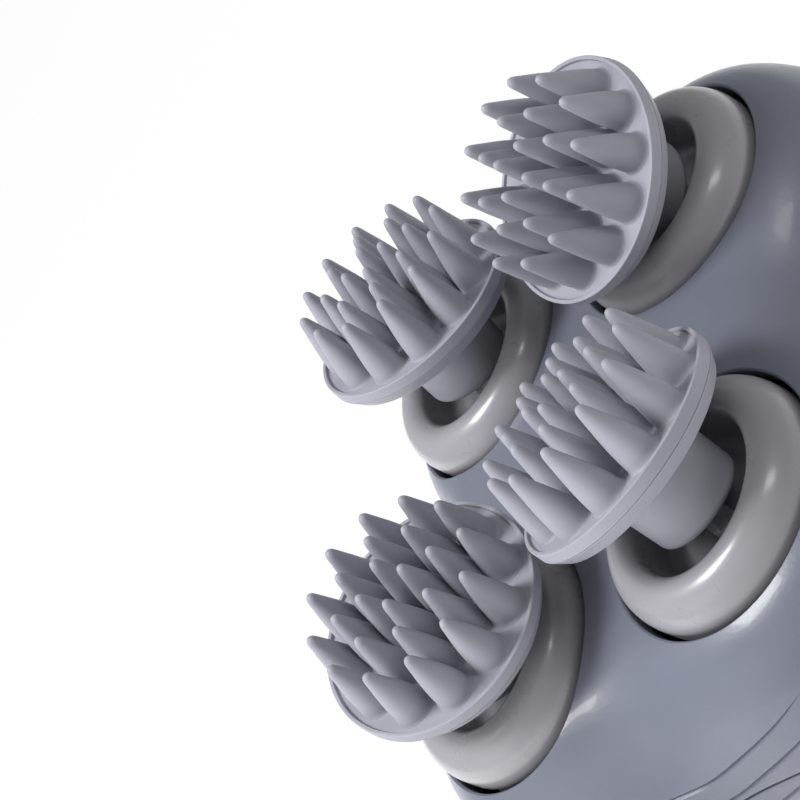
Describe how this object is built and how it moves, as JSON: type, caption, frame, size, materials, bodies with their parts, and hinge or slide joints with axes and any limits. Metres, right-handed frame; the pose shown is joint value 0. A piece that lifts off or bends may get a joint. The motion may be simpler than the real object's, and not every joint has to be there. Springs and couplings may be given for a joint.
{
  "type": "electric scalp massager",
  "caption": "Hand-held electric scalp massager: a clover-shaped housing on a round grip carries tilted brush heads that turn in ring-shaped seats.",
  "frame": {"origin": "centre of the flat rim of the grip that it rests on", "axes": "+Z from the grip towards the brush heads; +X and +Y along the short and long spacing of the heads"},
  "size_m": [0.1026, 0.1156, 0.0938],
  "materials": {
    "housing": "satin moulded plastic, blue-grey",
    "seat_cup": "glossy moulded plastic, neutral grey",
    "brush_pad": "matte silicone, pale violet-grey",
    "brush_hub": "satin plastic, grey",
    "button": "satin plastic, pale grey",
    "seal": "black silicone",
    "inner_plastic": "dark moulded plastic",
    "gear_plastic": "natural acetal",
    "steel": "turned steel",
    "battery_wrap": "shrink-wrapped cell",
    "board": "glass-epoxy laminate",
    "contact": "gold-plated contact",
    "lens": "milky light guide"
  },
  "bodies": {
    "housing": {"upper_housing": "housing", "lower_housing": "housing", "grip_cap": "housing", "housing_seal": "seal", "button_boot": "seal", "gearbox_cover": "inner_plastic", "gearbox_tray": "inner_plastic", "battery_holder": "inner_plastic", "button_switch": "inner_plastic", "motor_gearhead": "steel", "motor_can": "steel", "battery": "battery_wrap", "control_board": "board", "charge_contact_1": "contact", "charge_contact_2": "contact", "indicator_lens": "lens", "gearbox_screw_1": "steel", "gearbox_screw_2": "steel", "gearbox_screw_3": "steel", "gearbox_screw_4": "steel", "board_screw_1": "steel", "board_screw_2": "steel", "board_screw_3": "steel", "seat_seal_A": "seal", "seat_seal_B": "seal", "seat_seal_C": "seal", "seat_seal_D": "seal"},
    "central_drive": {"central_gear": "gear_plastic", "output_shaft": "steel"},
    "button": {"power_button": "button"},
    "seat_A": {"seat_cup_A": "seat_cup", "seat_gear_A": "gear_plastic", "head_pin_A": "steel"},
    "head_A": {"brush_hub_A": "brush_hub", "brush_pad_A": "brush_pad"},
    "seat_B": {"seat_cup_B": "seat_cup", "seat_gear_B": "gear_plastic", "head_pin_B": "steel"},
    "head_B": {"brush_hub_B": "brush_hub", "brush_pad_B": "brush_pad"},
    "seat_C": {"seat_cup_C": "seat_cup", "seat_gear_C": "gear_plastic", "head_pin_C": "steel"},
    "head_C": {"brush_hub_C": "brush_hub", "brush_pad_C": "brush_pad"},
    "seat_D": {"seat_cup_D": "seat_cup", "seat_gear_D": "gear_plastic", "head_pin_D": "steel"},
    "head_D": {"brush_hub_D": "brush_hub", "brush_pad_D": "brush_pad"}
  },
  "joints": [
    {"name": "central_spin", "type": "hinge", "parent": "housing", "child": "central_drive", "pos_m": [0, 0, 0.049], "axis": [0, 0, 1], "continuous": true},
    {"name": "button_press", "type": "slide", "parent": "housing", "child": "button", "axis": [0, 0, 1], "range_m": [0, 0.0012], "stiffness_N_per_m": 900, "springref_m": -0.0004},
    {"name": "seat_spin_A", "type": "hinge", "parent": "housing", "child": "seat_A", "pos_m": [0.02235, 0.02825, 0.066], "axis": [0, 0, 1], "continuous": true},
    {"name": "head_spin_A", "type": "hinge", "parent": "seat_A", "child": "head_A", "pos_m": [0.02235, 0.02825, 0.0679], "axis": [-0.1275, -0.276, 0.9527], "continuous": true},
    {"name": "seat_spin_B", "type": "hinge", "parent": "housing", "child": "seat_B", "pos_m": [-0.02235, 0.02825, 0.066], "axis": [0, 0, 1], "continuous": true},
    {"name": "head_spin_B", "type": "hinge", "parent": "seat_B", "child": "head_B", "pos_m": [-0.02235, 0.02825, 0.0679], "axis": [0.2256, 0.2038, 0.9527], "continuous": true},
    {"name": "seat_spin_C", "type": "hinge", "parent": "housing", "child": "seat_C", "pos_m": [-0.02235, -0.02825, 0.066], "axis": [0, 0, 1], "continuous": true},
    {"name": "head_spin_C", "type": "hinge", "parent": "seat_C", "child": "head_C", "pos_m": [-0.02235, -0.02825, 0.0679], "axis": [0.3014, -0.0397, 0.9527], "continuous": true},
    {"name": "seat_spin_D", "type": "hinge", "parent": "housing", "child": "seat_D", "pos_m": [0.02235, -0.02825, 0.066], "axis": [0, 0, 1], "continuous": true},
    {"name": "head_spin_D", "type": "hinge", "parent": "seat_D", "child": "head_D", "pos_m": [0.02235, -0.02825, 0.0679], "axis": [-0.0233, 0.3031, 0.9527], "continuous": true}
  ],
  "couplings": [
    {"joint": "seat_spin_A", "follows": "central_spin", "ratio": -1.6667},
    {"joint": "seat_spin_B", "follows": "central_spin", "ratio": -1.6667},
    {"joint": "seat_spin_C", "follows": "central_spin", "ratio": -1.6667},
    {"joint": "seat_spin_D", "follows": "central_spin", "ratio": -1.6667}
  ]
}
